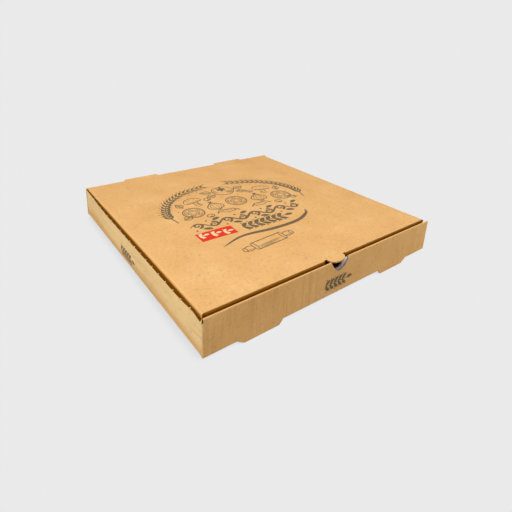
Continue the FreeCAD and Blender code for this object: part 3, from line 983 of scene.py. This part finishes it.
def burr(middle, y, top, swell, along=7, across=6, length=1.2 * mm, high=0.34 * mm):
    """A loaf: z = top + h sin(pi u) (1 - w to the 4th), u along the edge and w across it. swell
    holds this burr's share of the height and of the length."""
    u = np.linspace(0, 1, along)[:, None]
    w = np.linspace(-1, 1, across)[None, :]
    rise = high * swell[0] * np.sin(math.pi * u) * (1 - w ** 4)
    x = middle + w * board * 0.46 + 0 * u
    spread = y + (u - 0.5) * length * swell[1] + 0 * w
    upper = np.stack([x, spread, top + rise], 2).reshape(-1, 3)
    lower = np.stack([x, spread, np.full_like(x, top - 0.3 * mm)], 2).reshape(-1, 3)
    size = along * across
    number = np.arange(size).reshape(along, across)
    quads = np.stack([number[:-1, :-1], number[:-1, 1:], number[1:, 1:], number[1:, :-1]], 2)
    quads = quads.reshape(-1, 4)
    rim = np.concatenate([number[:, 0], number[-1, 1:], number[-2::-1, -1], number[0, -2:0:-1]])
    following = np.roll(rim, -1)
    walls = np.stack([rim, rim + size, following + size, following], 1)
    return np.vstack([upper, lower]), np.vstack([quads[:, ::-1], quads + size, walls])


print("the left wall is", round(edge_top(-1, 0.0)[1], 4), "high")

# %% [markdown]
# The nicks stand in even rows, and each is torn a little differently.

# %% Torn nicks along the side walls
first_nick, last_nick, nick_pitch = -143, 140, 15.0      # along the wall, in millimetres
rng = np.random.default_rng(7)
points, faces, first = [], [], 0
for side in (-1, 1):
    for y in np.arange(first_nick, last_nick, nick_pitch) * mm:
        middle, top = edge_top(side, y)
        corners, quads = burr(middle, y, top, rng.uniform(0.7, 1.25, 2))
        points += corners.tolist()
        faces += (quads + first).tolist()
        first += len(corners)
torn, net, shader = new_material("torn_paper")
fibres = net.noise(net.add("TexCoord").outputs["Object"], 1800.0, 3.0)
net.feed(shader, {"Base Color": net.mix(fibres, kraft_pale, kraft_deep),
                  "Roughness": net.ramp(fibres, 0.3, 0.7, 0.80, 0.95)})
new_piece("torn_nicks", points, faces, torn, "tray")

# %% [markdown]
# The camera stands where the photographer stood: to the left of the box's front corner and a
# little above it, with the lens shifted, because the picture is cut from a larger one.

# %% Camera
photo_size = 512
optical_centre = (239.5, 162.0)   # pixel of the photograph that the camera looks straight at
camera_place = (-299.804 * mm, -390.819 * mm, 262.13 * mm)
focal_pixels = 395.5
azimuth, elevation, roll = (math.radians(angle) for angle in (-36.2425, 17.8588, 1.8891))
lens = bpy.data.cameras.new("camera")
camera = bpy.data.objects.new("camera", lens)
bpy.context.scene.collection.objects.link(camera)
bpy.context.scene.camera = camera
back = Vector((math.sin(azimuth) * math.cos(elevation), -math.cos(azimuth) * math.cos(elevation),
               math.sin(elevation)))
camera.rotation_mode = "QUATERNION"
camera.rotation_quaternion = (-back).to_track_quat("-Z", "Y") @ Quaternion((0, 0, 1), roll)
camera.location = camera_place
lens.lens = focal_pixels / photo_size * lens.sensor_width
lens.shift_x = (photo_size / 2 - optical_centre[0]) / photo_size
lens.shift_y = (optical_centre[1] - photo_size / 2) / photo_size
print("lens", round(lens.lens, 2), "mm")

# %% [markdown]
# The light is soft. A broad lamp high above, a little left and in front, lights the lid. A small one
# low on the left lifts that wall, a weak one low on the right lifts the front wall's far end, and an
# even warm sky fills the shade. The camera sees a pale grey sky instead.

# %% Light and sky
pale = srgb(234, 234, 234)
warm_sky = (1.0, 0.84, 0.32, 1.0)
sky_strength = 0.26


def seen_directly(net):
    """A mask: 1 where a ray comes from the camera, also by way of a mirror or through glass."""
    ray = net.add("LightPath").outputs
    return net.largest(ray["Is Camera Ray"], ray["Is Glossy Ray"], ray["Is Transmission Ray"])


world = bpy.data.worlds.new("studio")
bpy.context.scene.world = world
world.use_nodes = True
sky = Net(world.node_tree)
fill = sky.add("Background", {0: warm_sky, 1: sky_strength})
shown = sky.add("Background", {0: pale, 1: 1.0})
both = sky.add("MixShader", {0: seen_directly(sky), 1: fill.outputs[0], 2: shown.outputs[0]})
sky.tree.links.new(both.outputs[0], world.node_tree.nodes["World Output"].inputs[0])


def softbox(name, place, aim, size, power, colour):
    """A square lamp that hangs at a place and points at another."""
    lamp = bpy.data.lights.new(name, "AREA")
    lamp.size = size
    lamp.energy = power
    lamp.color = colour
    holder = bpy.data.objects.new(name, lamp)
    holder.location = place
    holder.rotation_mode = "QUATERNION"
    holder.rotation_quaternion = (Vector(aim) - Vector(place)).to_track_quat("-Z", "Y")
    bpy.context.scene.collection.objects.link(holder)
    print(name, "gives", power, "W")


softbox("overhead_softbox", (-0.26, -0.40, 1.40), (-0.02, -0.06, 0), 0.95, 16.4, (0.98, 1.0, 1.09))
softbox("left_softbox", (-1.1, -0.05, 0.16), (0, 0, 0.02), 0.3, 3.6, (0.98, 0.95, 0.93))
softbox("right_front_softbox", (0.44, -0.52, 0.10), (0.12, -0.16, 0.02), 0.2, 0.47,
        (0.95, 1.0, 0.95))

# %% [markdown]
# The floor shows the camera that same grey, and on it the box's shadow: a soft dark rim on the side
# from which its ambient occlusion node looks towards the box. All other light meets a matt floor.

# %% Floor
reach = 2.0                # the floor's half-width, in metres
shadow_reach = 13 * mm
shadow_tone = srgb(188, 190, 196)
floor_mesh = bpy.data.meshes.new("floor")
floor_mesh.from_pydata([(-reach, -reach, 0), (reach, -reach, 0), (reach, reach, 0), (-reach, reach, 0)],
                       [], [(0, 1, 2, 3)])
floor = bpy.data.objects.new("floor", floor_mesh)
bpy.context.scene.collection.objects.link(floor)
paper, net, shader = new_material("floor_paper")
floor_mesh.materials.append(paper)
net.feed(shader, {"Base Color": (0.42, 0.42, 0.42, 1.0), "Roughness": 0.9})
towards = net.add("CombineXYZ", {0: 0.80, 1: -0.42, 2: 0.42}).outputs[0]
sky_share = net.add("AmbientOcclusion", {"Distance": shadow_reach, "Normal": towards},
                    samples=24).outputs["AO"]
floor_tone = net.mix(net.ramp(sky_share, 0.10, 0.80, 1.0, 0.0), pale, shadow_tone)
glow = net.add("Emission", {0: floor_tone, 1: 1.0})
floor_look = net.add("MixShader", {0: seen_directly(net), 1: shader.outputs[0], 2: glow.outputs[0]})
net.tree.links.new(floor_look.outputs[0], paper.node_tree.nodes["Material Output"].inputs[0])
bpy.context.scene.view_settings.view_transform = "Standard"
print("the floor is", 2 * reach, "m wide")
